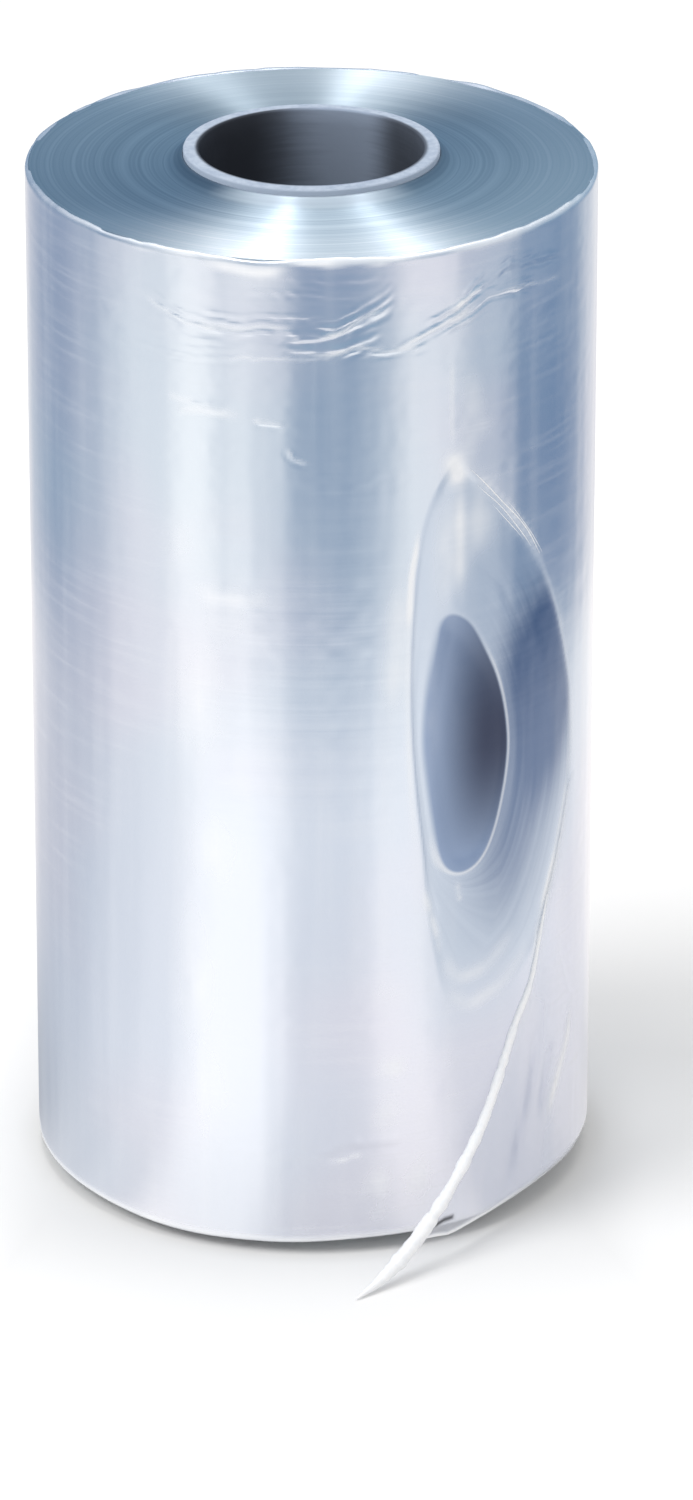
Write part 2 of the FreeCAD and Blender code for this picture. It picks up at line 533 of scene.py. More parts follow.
# the oval hollow in the turns behind it
HOLLOW = [
    (29.4, 234.1), (33.6, 228.9), (37.4, 217.4), (40.4, 206.1), (42.4, 193.6), (43.2, 181.5), (42.6, 170.2),
    (41.2, 159.4), (39.5, 150.5), (37.4, 143.6), (35, 139.6), (32.1, 137.9), (29.3, 138.9), (27.1, 142.6),
    (25.6, 149.5), (24.2, 161.1), (23.0, 174.9), (22.2, 188.4), (22.5, 201.5), (23.4, 214.4), (24.6, 223.9),
    (26.3, 232.3),
]
# each crease: its line, its height and half width in millimetres, and how many finer ones lie by it
CREASES = [
    ([(-35.3, 346.8), (-31.7, 344.6), (-26.7, 340.8), (-21.8, 338.9), (-11, 338.6), (-2, 338.5), (6, 339)],
     0.11, 0.9, 3),
    ([(-7.4, 336), (0.6, 336.8), (6.5, 339.6), (12.4, 344.9), (16.4, 349)], 0.2, 0.8, 3),
    ([(-0.8, 341.5), (3.5, 340.9), (9.4, 343.7), (13.1, 347.1)], 0.15, 0.8, 2),
    ([(-6.5, 332.9), (3.5, 333), (9.4, 335.6), (14, 339)], 0.16, 0.8, 2),
    ([(-4.5, 330.4), (3.5, 330.9), (9.4, 332.6), (18.5, 331), (24.8, 331.7)], 0.12, 0.7, 2),
    ([(15.4, 330.9), (24.8, 336.7), (31.5, 341.3), (37, 345.4), (42.7, 344.9), (51.6, 343.4)], 0.15, 0.9, 3),
    ([(22, 339), (28.1, 342.4), (35, 349.3), (35.9, 351.6)], 0.2, 0.7, 2),
    ([(36, 350), (42, 354), (52, 352), (62, 349)], 0.08, 1.0, 2),
    ([(-14, 352.5), (-4, 353.4), (4, 352.6), (13, 351)], 0.05, 0.9, 3),
    ([(-4, 357.6), (6, 358.2), (17, 357)], 0.05, 0.9, 3),
    ([(-55, 341), (-48, 340.4), (-40, 341.5)], 0.05, 0.9, 2),
    ([(-45, 330), (-34, 329), (-22, 328), (-12, 330)], 0.05, 0.8, 3),
    ([(-27.7, 308.6), (-22, 309.7), (-17, 309.4)], 0.12, 0.9, 1),
    ([(-11.2, 307.7), (-5.3, 306.4)], 0.08, 0.8, 0),
    ([(-4.6, 298.4), (-3.8, 295), (-0.6, 292.6)], 0.07, 0.7, 0),
    ([(-22.9, 244.2), (-19.7, 243.1), (-13.3, 243.8), (-9.7, 244)], 0.08, 1.2, 1),
    ([(0.2, 38.4), (3.2, 39), (6.9, 40.6), (10.7, 40.6), (19.2, 40.6)], 0.14, 1.0, 1),
]
# painted highlights along the creases, round the window and at its top point, on the top rim and in arcs low
# in the window, and the white of the torn edge where the film rolled up: line, half width, and how white
HIGHLIGHTS_AND_WHITENING = [
    ([(-36.5, 347.5), (-31.7, 344.6), (-26.7, 340.8), (-21.8, 338.9)], 0.7, 0.25),
    ([(-26.7, 340.3), (-20.3, 339.8), (-11.1, 340.3), (-2.3, 340.5)], 0.8, 0.65),
    ([(-0.1, 336.3), (6.5, 340), (12.4, 345.9), (15.4, 348.6)], 0.7, 0.7),
    ([(-4.5, 330.9), (3.5, 331.4), (9.4, 333.6), (18.5, 331.6), (24.8, 332.7)], 0.6, 0.55),
    ([(15.4, 330.9), (24.8, 336.7), (31.5, 341.3), (35, 344)], 0.6, 0.55),
    ([(28.1, 342.4), (35, 349.3), (35.9, 351.6)], 0.7, 0.8),
    ([(35, 345.4), (42.7, 344.9), (51.6, 343.4), (61.4, 342.2)], 0.6, 0.25),
    ([(-29, 308.6), (-25, 309.2), (-22, 309.7), (-17, 309.4), (-13, 309)], 1.7, 0.4),
    ([(-30, 313.4), (-28, 312.7), (-25.2, 312), (-23, 312)], 1.4, 0.3),
    ([(-13, 308.3), (-10, 307.7), (-7, 307), (-4, 306.4)], 1.1, 0.3),
    ([(-4.9, 299.2), (-4.4, 297), (-3.2, 294.6), (-0.2, 292.4)], 0.7, 0.28),
    ([(-21.9, 327.8), (-11.2, 329.8), (-0.8, 329.6), (7.9, 331.9)], 0.5, 0.3),
    ([(-27, 247), (-22.9, 244.6), (-18, 243.1), (-13.3, 243.5), (-6, 244)], 2.0, 0.3),
    ([(-23, 362.4), (-18, 361.6), (-12, 360.4), (-8, 360.8), (-3, 362.6)], 1.9, 0.9),
    ([(0, 363.6), (8, 363.8), (16, 363.2), (24, 363.4)], 0.8, 0.4),
    ([(2.4, 35.2), (6.9, 35.9), (10.7, 37.2)], 0.8, 0.45),
    ([(9.2, 13.7), (14.6, 14.2), (20.1, 14.2)], 1.6, 0.35),
    ([(28.7, 330), (28.7, 307.6), (29.1, 289)], 1.0, 0.3),
    ([(32.5, 322), (35.2, 305.3), (37.1, 291)], 3.6, 0.22),
    ([(29.2, 288.5), (30.2, 283.5)], 3.6, 1.1),
    ([(30.4, 290), (30.7, 272), (30.8, 258), (31.1, 236)], 2.2, 0.5),
    ([(32.9, 284.6), (37.3, 278), (43.3, 265.6), (48.6, 254.7), (53.9, 242)], 1.5, 0.4),
    ([(21.7, 268), (20.7, 256.9), (20, 249.6), (19.4, 229)], 1.0, 1.4),
    ([(19.6, 240), (19.3, 212), (19.6, 189), (20.3, 164), (21.6, 145)], 1.2, 0.3),
    ([(22.4, 138), (23.6, 129.5), (25.7, 117), (26.7, 106.6)], 1.2, 0.45),
    ([(54, 243), (59.5, 222), (62.5, 205), (65, 187), (66, 170), (64.8, 153.5), (62.2, 141.8), (59, 128.6),
      (55.9, 117), (53.6, 106.6)], 1.8, 0.3),
    ([(65.4, 162), (64.2, 151), (62.2, 141.8), (59, 128.6), (55.9, 117), (53.6, 106.6), (51.7, 95.5),
      (49.6, 86)], 1.7, 0.8),
    ([(26.2, 110), (30.4, 100), (34.7, 98.9), (39.3, 101.8), (46.3, 111.4)], 2.6, 0.34),
    ([(27.3, 97), (32.6, 88.5), (38.2, 89.5), (44.4, 94), (50.4, 103.3)], 2.7, 0.38),
    ([(30.5, 133.8), (31.1, 128.5)], 1.0, 0.35),
]
# soft painted highlight patches: azimuth and height of the middle, half width and half height in
# millimetres, how white
HIGHLIGHT_PATCHES = [
    (16.3, 69, 4.5, 4, 0.5), (14.9, 52, 5, 6, 0.3), (13, 26, 4.5, 6, 0.42), (21.6, 26, 4.5, 6, 0.42),
    (28, 256, 5, 18, 0.36), (35, 266, 8, 13, 0.5), (24.5, 200, 3, 30, 0.1),
    (15, 98, 7, 5, 0.2), (8, 160, 8, 3, 0.15), (-20, 150, 9, 12, 0.3), (-24, 205, 8, 16, 0.3),
    (-17, 236, 7, 9, 0.25), (-24, 100, 7, 22, 0.3), (-21, 60, 8, 14, 0.2), (-27, 262, 7, 10, 0.15),
    (17.5, 232, 4, 14, 0.45), (16.5, 214, 4, 10, 0.35), (-2, 330, 9, 7, 0.1), (33, 300, 4, 14, 0.25),
    (-9, 357, 7, 4, 0.35), (30, 341, 5, 5, 0.3),
]


def graded(marks):
    """Evenly divided stretches: (start, step) pairs, then the end."""
    out = []
    for (start, gap), (end, _) in zip(marks, marks[1:]):
        count = max(1, round((end - start) / gap))
        out += [start + (end - start) * i / count for i in range(count)]
    return np.array(out)


columns = graded([(-60, 0.62), (14, 0.46), (80, 1.0), (110, 2.2), (300, 0)])
levels = graded(
    [(6.2, 0.9), (9, 3.4), (30, 1.5), (43, 3.2), (80, 1.5), (136, 2.0), (152, 2.9), (222, 2.0), (240, 2.9),
     (280, 0.85), (359, 1.1), (363.6, 1), (364, 0)]
)
A, Z = np.meshgrid(np.radians(columns), levels, indexing="ij")
U = A * RADIUS
around = A * 10

depth = 0.05 * soft_noise(around * 0.9 + 5, Z / 150, 1)
depth += 0.035 * soft_noise(around * 2.3, Z / 90, 2)
patches = np.clip(soft_noise(around * 1.1, Z / 28, 3) + 0.35, 0, 1)
depth += 0.05 * patches * soft_noise(around * 1.6, Z / 4.2, 4)
depth += 0.02 * soft_noise(around * 3.0, Z / 2.6, 5)
depth += 0.05 * soft_noise(U / 17, Z / 34, 41) * step(60, 40, np.degrees(A))
depth += 0.02 * soft_noise(U / 8, Z / 21, 42)
stirred = Z + 0.9 * soft_noise(U / 8, Z / 20, 31) + 0.45 * soft_noise(U / 2.7, Z / 6, 32)
drawn = np.random.RandomState(8)
for line, high_mm, wide, finer in CREASES:
    path = smooth_line([on_roll(a, z) for a, z in line], 8)
    lines = [(path, high_mm, wide)]
    for k in range(finer):
        first = drawn.randint(0, max(1, len(path) // 2))
        last = min(len(path), first + drawn.randint(len(path) // 3, len(path)))
        shift = drawn.uniform(1.6, 3.2) * (k // 2 + 1) * (-1 if k % 2 else 1)
        lines.append((path[first:last] + (0, shift), high_mm * drawn.uniform(0.4, 0.9), wide * 0.7))
    for path, high_mm, wide in lines:
        gap, side, along = line_distance(U, stirred, path)
        fade = step(0, 0.2, along) * step(1, 0.8, along)
        fade = fade * (1 + 0.75 * soft_noise(U / 2.9 + wide * 9, Z / 4.4, 51))
        depth += 1.75 * fade * high_mm * np.exp(-((gap / wide) ** 2))
        low_side = np.where(side < 0, gap - 1.8 * wide, 99)
        depth -= 1.35 * fade * high_mm * np.exp(-((low_side / wide) ** 2))
depth = np.minimum(depth, 0.55)

outline = smooth_line([on_roll(a, z) for a, z in WINDOW], 6, closed=True)
lip, _, _ = line_distance(U, Z, outline, closed=True)
lip = np.where(inside_line(U, Z, outline), lip, -lip)
oval = smooth_line([on_roll(a, z) for a, z in HOLLOW], 5, closed=True)
cup, _, _ = line_distance(U, Z, oval, closed=True)
cup = np.where(inside_line(U, Z, oval), cup, -cup)
centre_u, _ = on_roll(32.8, 187)
between = np.clip(-cup, 0, None) / (np.clip(-cup, 0, None) + np.clip(lip, 0, None) + 1e-6)
slant = np.clip((U - centre_u) / 17.9, -1, 1)
closing = step(82, 112, Z)
rightness = step(-12, 25, U - centre_u)
recess = step(0, 3.2 - 1.2 * rightness, lip) * closing
depth -= (0.25 + 0.15 * rightness) * recess
grain = soft_noise(between * 9 + 0.6 * soft_noise(U / 30, Z / 40, 12), Z / 90, 13)
depth += 0.06 * grain * recess * step(0.5, -0.5, cup)
depth -= 0.5 * step(0, 7 - 4.5 * step(-0.2, 0.8, slant), cup)
# Painted shade in the window and the hollow: gloom darkens the hollow on its right, most at middle height;
# the window's shade is darkest right of the hollow; a thin painted shadow runs inside the window's left lip.
gloom = step(-1.1, 0.5, slant) * np.clip(1 - np.where(Z < 186, 1.15, 0.7) * ((Z - 186) / 49) ** 2, 0.15, 1)
painted_window_shade = 1.5 * np.exp(-(((np.degrees(A) - 57) / 13.5) ** 2) - ((Z - 204) / np.where(Z > 204, 29, 36)) ** 2)
painted_window_shade += 0.15 * np.exp(-(((np.degrees(A) - 44) / 6) ** 2) - ((Z - 208) / 18) ** 2)
painted_window_shade += 0.36 * np.exp(-(((np.degrees(A) - 52) / 10) ** 2) - ((Z - 168) / 24) ** 2)
painted_window_shade += 0.6 * np.exp(-(((np.degrees(A) - 43) / 12.5) ** 2) - ((Z - 140) / 32) ** 2)
painted_window_shade = np.clip(painted_window_shade, 0, 1) * step(-0.6, 1.6, lip)
lip_shadow = np.exp(-(((lip - 1.1) / 0.8) ** 2)) * step(40, 25, np.degrees(A)) * step(115, 150, Z)
painted_window_shade = np.maximum(painted_window_shade, 0.36 * lip_shadow * step(262, 240, Z))

# Whiteness laid into the film's colour. It is mostly painted highlight: the streaks and patches above, and
# the painted highlights along the film's top and bottom edges.
white_and_highlight = np.zeros(U.shape)
for line, wide, white in HIGHLIGHTS_AND_WHITENING:
    path = smooth_line([on_roll(a, z) for a, z in line], 6)
    gap, _, along = line_distance(U, stirred if wide < 1 else Z, path)
    ends_in = step(0, 0.3, along) * step(1, 0.7, along) if len(line) > 2 else 1
    uneven = 1 + (0.5 * soft_noise(along * 9 + wide, Z / 50 + white, 33) if white < 0.9 else 0)
    white_and_highlight = np.maximum(white_and_highlight, white * uneven * ends_in * np.exp(-((gap / wide) ** 2)))
for azimuth, z, wide, high, white in HIGHLIGHT_PATCHES:
    centre, _ = on_roll(azimuth, z)
    gap = ((U - centre) / wide) ** 2 + ((Z - z) / high) ** 2
    uneven = 1 + 0.45 * soft_noise(U / 5 + z, Z / 7, 35)
    white_and_highlight += white * uneven * np.exp(-gap)
# A painted highlight along the film's bottom edge.
bottom_edge_highlight = np.exp(-(((Z - 6.2) / 1.35) ** 2)) * (0.85 + 0.2 * soft_noise(around, Z, 34))
white_and_highlight = np.maximum(white_and_highlight, bottom_edge_highlight)
# A painted highlight along the film's top edge at the front.
top_edge_highlight = step(-46, -26, np.degrees(A)) * step(66, 30, np.degrees(A))
top_edge_highlight *= 0.75 + 0.35 * soft_noise(around * 0.7, Z * 0, 37)
white_and_highlight = np.maximum(white_and_highlight, top_edge_highlight * step(362.1, 363.6, Z + 0.7 * soft_noise(around * 1.3, Z * 0, 39)))
white_and_highlight = np.clip(white_and_highlight, 0, 1)
# Where the painted highlight on the hollow's rim lies: its right side and its bottom.
hollow_rim_highlight_side = np.clip(0.5 * step(-0.1, 0.6, slant) * step(228, 205, Z) + 0.5 * step(156, 143, Z), 0.0, 0.5)

FOOT_RAISED = 4.4


def raised_foot(azimuth):
    """How far the foot of the roll stands up on its right side, in millimetres."""
    return FOOT_RAISED * step(34, 60, azimuth) * step(140, 100, azimuth)


# closed skin: bottom end, wall, top end and bore, each row a ring
rim_lift = 0.7 * soft_noise(columns / 9, columns * 0, 6) + 0.35 * soft_noise(columns / 3, columns * 0, 7)
wall_r = RADIUS + depth
top_row = wall_r[:, -1]
bottom_row = wall_r[:, 0]
foot_lift = raised_foot(columns)
foot_lift -= 1.75 * np.exp(-(((columns + 27) / 19) ** 2)) + 0.6 * np.exp(-(((columns + 4) / 10) ** 2))
rim_lift -= 1.3 * np.exp(-(((columns + 12) / 8) ** 2)) - 0.7 * np.exp(-(((columns - 6) / 9) ** 2))
ring_rows = [(np.full(len(columns), CORE_OUTSIDE + 0.1), np.full(len(columns), FILM_BOTTOM + 1.5))]
ring_rows += [(bottom_row - 3.0, FILM_BOTTOM + 1.5 + foot_lift)]
ring_rows += [(bottom_row - 1.6, FILM_BOTTOM + 0.1 + foot_lift)]
ring_rows += [(bottom_row - 0.5, FILM_BOTTOM + 0.3 + foot_lift)]
ring_rows += [(wall_r[:, j], z + foot_lift * step(30, 6.2, z)) for j, z in enumerate(levels)]
ring_rows += [(top_row - 0.35, FILM_TOP - 0.45 + 0.5 * rim_lift)]
ring_rows += [(top_row - 1.0, FILM_TOP - 0.15 + 0.6 * rim_lift)]
ring_rows += [(top_row - 1.8, FILM_TOP - 0.25 + 0.5 * rim_lift)]
ring_rows += [(top_row - 3.2, np.full(len(columns), FILM_TOP - 1.4))]
ring_rows += [(np.full(len(columns), CORE_OUTSIDE + 0.1), np.full(len(columns), FILM_TOP - 1.4))]
turn = np.radians(columns)
skin = np.array([np.stack([r * np.sin(turn), -r * np.cos(turn), z], 1) for r, z in ring_rows])
n_rows, n_cols = skin.shape[:2]
index = np.arange(n_rows * n_cols).reshape(n_rows, n_cols)
a = index
b = np.roll(index, -1, axis=1)
quads = np.stack([a, b, np.roll(b, -1, axis=0), np.roll(a, -1, axis=0)], 2).reshape(-1, 4)

clear, wire = new_material("silvery_film")
place = wire.node("ShaderNodeTexCoord", out="Object")
axes = wire.node("ShaderNodeSeparateXYZ", {}, {0: place}, out="X")


def mark(name):
    return wire.node("ShaderNodeAttribute", {"attribute_name": name}, out="Fac")


broad = wire.node("ShaderNodeTexNoise", {}, {"Vector": place, "Scale": 9.0, "Detail": 2.0})
flat_place = wire.node("ShaderNodeMapping", {}, {"Vector": place, "Scale": (9.0, 9.0, 210.0)})
ripple = wire.node("ShaderNodeTexNoise", {}, {"Vector": flat_place, "Scale": 1.0, "Detail": 3.0})
wisp_place = wire.node("ShaderNodeMapping", {}, {"Vector": place, "Scale": (26.0, 26.0, 420.0)})
wisps = wire.node("ShaderNodeTexNoise", {}, {"Vector": wisp_place, "Scale": 1.0, "Detail": 4.0})
upright_place = wire.node("ShaderNodeMapping", {}, {"Vector": place, "Scale": (120.0, 120.0, 7.0)})
upright = wire.node("ShaderNodeTexNoise", {}, {"Vector": upright_place, "Scale": 1.0, "Detail": 3.0})
window = mark("window")
cup_depth = mark("cup_depth")
hollow = cup_depth.ramp(-0.4, 0.9)
# A painted highlight along the hollow's rim.
hollow_rim_highlight = cup_depth.ramp(-1.5, -0.5) * cup_depth.ramp(0.5, -0.4) * mark("hollow_rim_highlight_side")
darkened = mark("gloom")
ring = mark("ring")
haze = wisps.ramp(0.45, 0.8) * broad.ramp(0.35, 0.65) * 0.15 + upright.ramp(0.4, 0.8) * 0.13
# Whiteness from the painted highlights, the hollow's painted rim highlight and random haze.
hazy = mark("white_and_highlight") + hollow_rim_highlight + haze * (1 - hollow) * (1 - window * 0.6)
whiteness = hazy.maths("MINIMUM", hazy, 1.0)
low_down = axes.other("Z").ramp(0.26, 0.12)
upper = broad.ramp(0.4, 0.65).tint((0.80, 0.885, 0.96), (0.87, 0.885, 0.965))
lower = broad.ramp(0.4, 0.62).tint((0.805, 0.87, 0.965), (0.862, 0.88, 0.965))
lavender = low_down.tint(upper, lower)
streak_place = wire.node("ShaderNodeCombineXYZ", {}, {"X": ring * 13, "Y": axes.other("Z") * 9})
streak = wire.node("ShaderNodeTexNoise", {}, {"Vector": streak_place, "Scale": 1.0, "Detail": 3.0})
# Painted light and shade in the window: pale at its edges, dark where the shade mark is high.
shade = mark("shade")
shaded = (shade + (streak - 0.5) * 0.35).ramp(0.0, 1.0)
window_shade_colour = shaded.tint((0.70, 0.785, 0.89), (0.145, 0.22, 0.375))
# Painted shade in the hollow: dark, darkest where gloom is high.
inside = darkened.tint((0.365, 0.475, 0.665), (0.045, 0.06, 0.115))
colour = window.tint(lavender, window_shade_colour)
colour = hollow.tint(colour, inside)
colour = whiteness.tint(colour, (0.95, 0.965, 0.99))
rough = broad * 0.08 + 0.18
bumped = wire.node("ShaderNodeBump", {}, {"Strength": 0.13, "Distance": 0.0003, "Height": ripple})
surface = wire.node(
    "ShaderNodeBsdfPrincipled",
    {},
    {
        "Base Color": colour,
        "Metallic": 0.85 * (1 - whiteness * 0.9),
        "Roughness": rough,
        "Anisotropic": 0.4,
        "Anisotropic Rotation": 0.25,
        "Coat Weight": 0.6,
        "Coat Roughness": 0.06,
        "Normal": bumped,
    },
)
wire.node("ShaderNodeOutputMaterial", {}, {"Surface": surface})

film = new_piece("wound_film", (skin.reshape(-1, 3) * MM).tolist(), quads.tolist(), clear)


def write_mark(piece, name, values, first_row, below=0, above=0):
    """Keeps one number for each point of the wall in the mesh, for its material."""
    whole = np.zeros((n_rows, n_cols))
    whole[:first_row] = below
    whole[first_row : first_row + values.shape[1]] = values.T
    whole[first_row + values.shape[1] :] = above
    data = piece.data.attributes.new(name, "FLOAT", "POINT")
    data.data.foreach_set("value", whole.ravel().astype(np.float32))


soft_lip = step(30, 60, np.degrees(A))
write_mark(film, "window", step(-0.3 - 2.0 * soft_lip, 0.9 + 0.8 * soft_lip, lip) * closing, 4)
soft_left = 1 - 0.62 * step(-0.25, -0.8, slant) - 0.2 * step(205, 228, Z)
write_mark(film, "cup_depth", np.clip(cup, -9, 9) * soft_left, 4, -9, -9)
write_mark(film, "hollow_rim_highlight_side", hollow_rim_highlight_side, 4)
write_mark(film, "ring", between, 4)
write_mark(film, "shade", painted_window_shade, 4)
write_mark(film, "gloom", gloom, 4)
# Painted highlights on the end rows of the skin: the bottom rim pale all round, the top rim palest at the
# front.
rim_highlight = 0.12 + 0.68 * step(-75, -22, columns) * step(95, 20, columns) + 0.08 * rim_lift
write_mark(film, "white_and_highlight", white_and_highlight, 4, 0.7, np.clip(rim_highlight, 0.05, 0.95))
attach(film, "root")
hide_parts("film")


# Film ends. At each end of the roll the edges of all the turns lie side by side,
# so the face is as finely ringed as a record and throws the light out in beams.
ends, wire = new_material("film_edges")
place = wire.node("ShaderNodeTexCoord", out="Object")
axes = wire.node("ShaderNodeSeparateXYZ", {}, {0: place}, out="X")
radius = (axes * axes + axes.other("Y") * axes.other("Y")) ** 0.5
flat_rings = {"noise_dimensions": "1D"}
fine = wire.node("ShaderNodeTexNoise", flat_rings, {"W": radius, "Scale": 900.0, "Detail": 3.0})
coarse = wire.node("ShaderNodeTexNoise", flat_rings, {"W": radius, "Scale": 120.0, "Detail": 2.0})
turns = (fine * 0.5 + coarse * 0.5).ramp(0.3, 0.7)
# Painted light on the end faces: the rings are painted darker near the core and lighter towards the rim,
# lighter still on the front left and on the right side.
near_core = turns.tint((0.46, 0.55, 0.62), (0.70, 0.78, 0.83))
near_rim = turns.tint((0.82, 0.87, 0.89), (0.97, 0.98, 0.985))
outer = radius.ramp(0.048, 0.092)
front_left = axes.ramp(-0.01, -0.04) * axes.other("Y").ramp(-0.035, -0.07)
face_painted_light = outer * (0.45 + front_left * 0.85) + axes.ramp(-0.02, 0.08) * (outer * 0.4 + 0.2)
colour = face_painted_light.tint(near_core, near_rim)
# Painted shade on the end faces: darker behind the core, and a dark painted shadow ring round the core
# except at its front.
shade_near_core_back = axes.other("Y").ramp(0.025, 0.055) * (1 - outer) * 0.3
colour = shade_near_core_back.tint(colour, (0.33, 0.38, 0.42))
behind = axes.other("Y").ramp(0.02, 0.055) * axes.ramp(-0.06, -0.03) * axes.ramp(0.075, 0.045)
colour = (behind * axes.ramp(0.0, 0.03, 0.6, 0.2)).tint(colour, (0.40, 0.46, 0.50))
beside = radius.ramp(0.0485, 0.0445) * (1 - behind)
front = axes.other("Y").ramp(-0.03, -0.043)
colour = (beside * (1 - front) * 0.45).tint(colour, (0.13, 0.19, 0.26))
climbing = radius.ramp(0.0495, 0.0455) * front
colour = (climbing * 0.8).tint(colour, (0.50, 0.575, 0.65))
bumped = wire.node("ShaderNodeBump", {}, {"Strength": 0.2, "Distance": 0.0003, "Height": fine})
surface = wire.node(
    "ShaderNodeBsdfPrincipled",
    {},
    {
        "Base Color": colour,
        "Metallic": 0.94 - climbing * 0.5,
        "Roughness": 0.42,
        "Anisotropic": 1.0,
        "Anisotropic Rotation": 0.25,
        "Normal": bumped,
    },
)
wire.node("ShaderNodeOutputMaterial", {}, {"Surface": surface})
rings_seed = np.random.RandomState(11)
radii = np.linspace(CORE_OUTSIDE + 0.1, RADIUS - 1.1, 64)
relief = np.cumsum(rings_seed.uniform(-0.05, 0.05, 64))
relief -= np.linspace(relief[0], relief[-1], 64)
climb = 3.3 * np.exp(-(((radii - CORE_OUTSIDE) / 3.4) ** 2))
face = [(r, h) for r, h in zip(radii, np.clip(relief, -0.3, 0.3) + climb)]
END_FACES = (("film_end_top", FILM_TOP - 0.45, 1), ("film_end_bottom", FILM_BOTTOM + 0.45, -1))
for name, level, outward in END_FACES:
    profile = [(r, level + outward * h) for r, h in face]
    profile += [(r, level - outward * 0.9) for r in (radii[-1], radii[0])]
    if outward < 0:
        profile.reverse()
    end = turned(name, profile, 192, 0.25, ends)
    if outward < 0:
        points = np.array([v.co for v in end.data.vertices])
        azimuth = np.degrees(np.arctan2(points[:, 0], -points[:, 1])) % 360
        outwards = step(50, RADIUS - 3, np.hypot(points[:, 0], points[:, 1]) / MM)
        points[:, 2] += raised_foot(azimuth) * outwards * MM
        end.data.vertices.foreach_set("co", points.ravel())
    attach(end, "root")


# Loose end. The outer turn is torn down the right of the window, and below it the free part
# stands off the roll as a flat flap of clear film that narrows to a point on the table.
LEAVES_AT = 49.0
GONE_IN = 0.45
# the flap's free edge and its foot: how far it is past the place where it leaves, and its height
FREE_EDGE = [
    (-42, 158), (-30, 156), (-26.7, 153.5), (-22.3, 141.8), (-16.9, 128.6), (-11.7, 117), (-7.8, 106.6),
    (-4.6, 95.5), (-1, 86), (6.1, 75.2), (11.9, 63.8), (17.3, 53.3), (21.9, 45.6), (26.7, 39), (34.1, 30.8),
    (41.7, 23.6), (47.3, 19.3), (53, 15.5), (61.1, 10.5), (69.9, 6.2), (79.5, 2.7), (90, 0.5),
]
FOOT_EDGE = [
    (-60, 9.7), (-20, 9.9), (-8, 9.2), (5.6, 7.7), (19, 6.8), (30, 6.5), (38, 6.4), (42, 6.7), (47.7, 8.3),
    (53, 9.5), (61, 5), (69.9, 2.0), (79.5, 0.6), (90, 0.3),
]
# soft folds in the flap: line as azimuth and height, height and half width in millimetres
FOLDS = [
    ([(53.6, 74), (51.9, 58), (50.2, 45.4), (47.4, 32.1), (44.3, 17.5), (40.8, 9.8)], -0.4, 2.9),
    ([(67, 72), (65.8, 62), (65, 55.8), (61.2, 46.2), (58, 36.1), (56.6, 26)], 0.4, 2.3),
    ([(59.2, 62), (55.1, 44.9), (53.9, 30)], -0.25, 2.3),
]


def off_roll(past, z, lift):
    """The place past the tangent line, in millimetres, at a height, lifted off the sheet's plane."""
    start = math.radians(LEAVES_AT)
    angle = start - np.minimum(past, 0) / RADIUS
    out = RADIUS + lift
    x = out * np.sin(angle) - np.maximum(past, 0) * math.cos(start)
    y = -out * np.cos(angle) - np.maximum(past, 0) * math.sin(start)
    return np.stack([x, y, z + 0 * x], -1)


pasts = np.concatenate([np.linspace(-60, 30, 100), np.linspace(30, 90, 61)[1:]])
tops = np.interp(pasts, *np.array([(-60, 160)] + FREE_EDGE).T)
feet = np.interp(pasts, *np.array(FOOT_EDGE).T)
shares = np.linspace(0, 1, 64)
P, S = np.meshgrid(pasts, shares, indexing="ij")
H = feet[:, None] + (tops - feet)[:, None] * S
fold_azimuth = np.radians(LEAVES_AT) - P / RADIUS
lift = 0.30 + 0.05 * soft_noise(P / 9, H / 30, 21)
painted_fold_shade = np.zeros(P.shape)
# Folds that rise carry a painted highlight along their ridge, and folds that sink a painted shade.
for line, high_mm, wide in FOLDS:
    path = smooth_line([on_roll(a, z) for a, z in line], 8)
    gap, side, along = line_distance(fold_azimuth * RADIUS, H, path)
    ridge = np.exp(-((gap / wide) ** 2)) * step(0, 0.3, along) * step(1.0, 0.7, along)
    lift += high_mm * ridge
    if high_mm > 0:
        fold_highlight = ridge
    else:
        painted_fold_shade = np.maximum(painted_fold_shade, ridge)
to_edge = (tops[:, None] - H)
sink = step(-26, -58, P) + step(-16, -34, P) * step(14, 44, to_edge) * step(60, 110, H)
lift = np.maximum(lift, 0.12) - GONE_IN * 1.6 * np.clip(sink, 0, 1)
lift += 0.9 * step(10, 40, P) * np.sin(H / 11 + 0.6) * step(86, 60, P) * 0.35
flap_points = off_roll(P, H, lift)
flap_index = np.arange(P.size).reshape(P.shape)
flap_quads = np.stack(
    [flap_index[:-1, :-1], flap_index[:-1, 1:], flap_index[1:, 1:], flap_index[1:, :-1]], 2
).reshape(-1, 4)

flap_film, wire = new_material("loose_film")
place = wire.node("ShaderNodeTexCoord", out="Object")
flat_place = wire.node("ShaderNodeMapping", {}, {"Vector": place, "Scale": (60.0, 60.0, 14.0)})
ripple = wire.node("ShaderNodeTexNoise", {}, {"Vector": flat_place, "Scale": 1.0, "Detail": 2.0})
curl_and_highlight = mark("curl_and_highlight")
fold_shade = mark("fold_shade")
tone = ripple.ramp(0.35, 0.65).tint((0.77, 0.81, 0.90), (0.86, 0.88, 0.95))
# White of the rolled-up film, with painted highlights on the fold and the foot.
colour = curl_and_highlight.tint(tone, (0.95, 0.955, 0.97))
# Painted shade along the sunken folds.
colour = fold_shade.tint(colour, (0.42, 0.47, 0.62))
